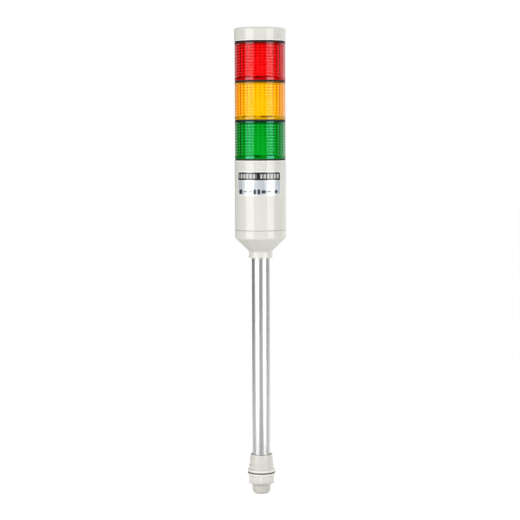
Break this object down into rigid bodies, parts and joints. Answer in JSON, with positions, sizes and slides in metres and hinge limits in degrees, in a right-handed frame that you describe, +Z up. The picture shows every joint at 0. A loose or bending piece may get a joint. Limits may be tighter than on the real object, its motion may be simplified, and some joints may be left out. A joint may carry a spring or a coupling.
{
  "type": "stack light",
  "caption": "Stack light with red, yellow and green ribbed lenses on an ivory housing, an aluminium pole and a threaded foot with its nut.",
  "frame": {"origin": "on the light's axis, at the underside of the foot's gasket, which is the top face of the panel it is clamped to", "axes": "+Z up along the pole, -Y towards the label on the front, +X to the right as seen from the front"},
  "size_m": [0.0564, 0.0564, 0.5108],
  "materials": {
    "ivory_plastic": "smooth moulded ABS, ivory",
    "foot_plastic": "satin moulded plastic, ivory",
    "rubber_grey": "flat rubber",
    "rubber_black": "flat rubber, black",
    "pole_aluminium": "drawn and anodised",
    "zinc_steel": "zinc plated",
    "label_foil": "silver foil with a black band",
    "board_green": "circuit board lacquer",
    "board_white": "white circuit board lacquer",
    "terminal_green": "moulded",
    "lever_orange": "moulded",
    "black_plastic": "moulded component cases",
    "lead_sleeve": "wire sleeve",
    "carrier_white": "white reflecting plastic",
    "led_package": "clear resin over a white case",
    "green_lens": "clear tinted polycarbonate, ribbed",
    "yellow_lens": "clear tinted polycarbonate, ribbed",
    "red_lens": "clear tinted polycarbonate, ribbed"
  },
  "bodies": {
    "light": {"pole_fitting": "foot_plastic", "panel_gasket": "rubber_grey", "pole": "pole_aluminium", "pole_washer": "zinc_steel", "pole_lock_nut": "zinc_steel", "bottom_cover": "ivory_plastic", "cover_seal": "rubber_black", "base_housing": "ivory_plastic", "name_label": "label_foil", "main_board": "board_green", "terminal_block": "terminal_green", "terminal_levers": "lever_orange", "board_parts": "black_plastic", "module_leads": "lead_sleeve", "cap_seal": "rubber_black", "head_cap": "ivory_plastic", "bolt_washer": "rubber_black", "tie_bolt": "zinc_steel", "green_seal": "rubber_black", "green_lens": "green_lens", "green_led_carrier": "carrier_white", "green_led_board": "board_white", "green_leds": "led_package", "green_resistors": "black_plastic", "yellow_seal": "rubber_black", "yellow_lens": "yellow_lens", "yellow_led_carrier": "carrier_white", "yellow_led_board": "board_white", "yellow_leds": "led_package", "yellow_resistors": "black_plastic", "red_seal": "rubber_black", "red_lens": "red_lens", "red_led_carrier": "carrier_white", "red_led_board": "board_white", "red_leds": "led_package", "red_resistors": "black_plastic"},
    "clamp_washer": {"clamp_washer": "foot_plastic"},
    "mounting_nut": {"mounting_nut": "foot_plastic"}
  },
  "joints": [
    {"name": "washer_travel", "type": "slide", "parent": "light", "child": "clamp_washer", "axis": [0, 0, 1], "range_m": [-0.00901, 0]},
    {"name": "nut_turn", "type": "hinge", "parent": "clamp_washer", "child": "mounting_nut", "pos_m": [0, 0, -0.0076], "axis": [0, 0, 1], "range_deg": [-2160, 0]}
  ],
  "couplings": [
    {"joint": "washer_travel", "follows": "nut_turn", "m_per_rad": 0.00023873}
  ]
}
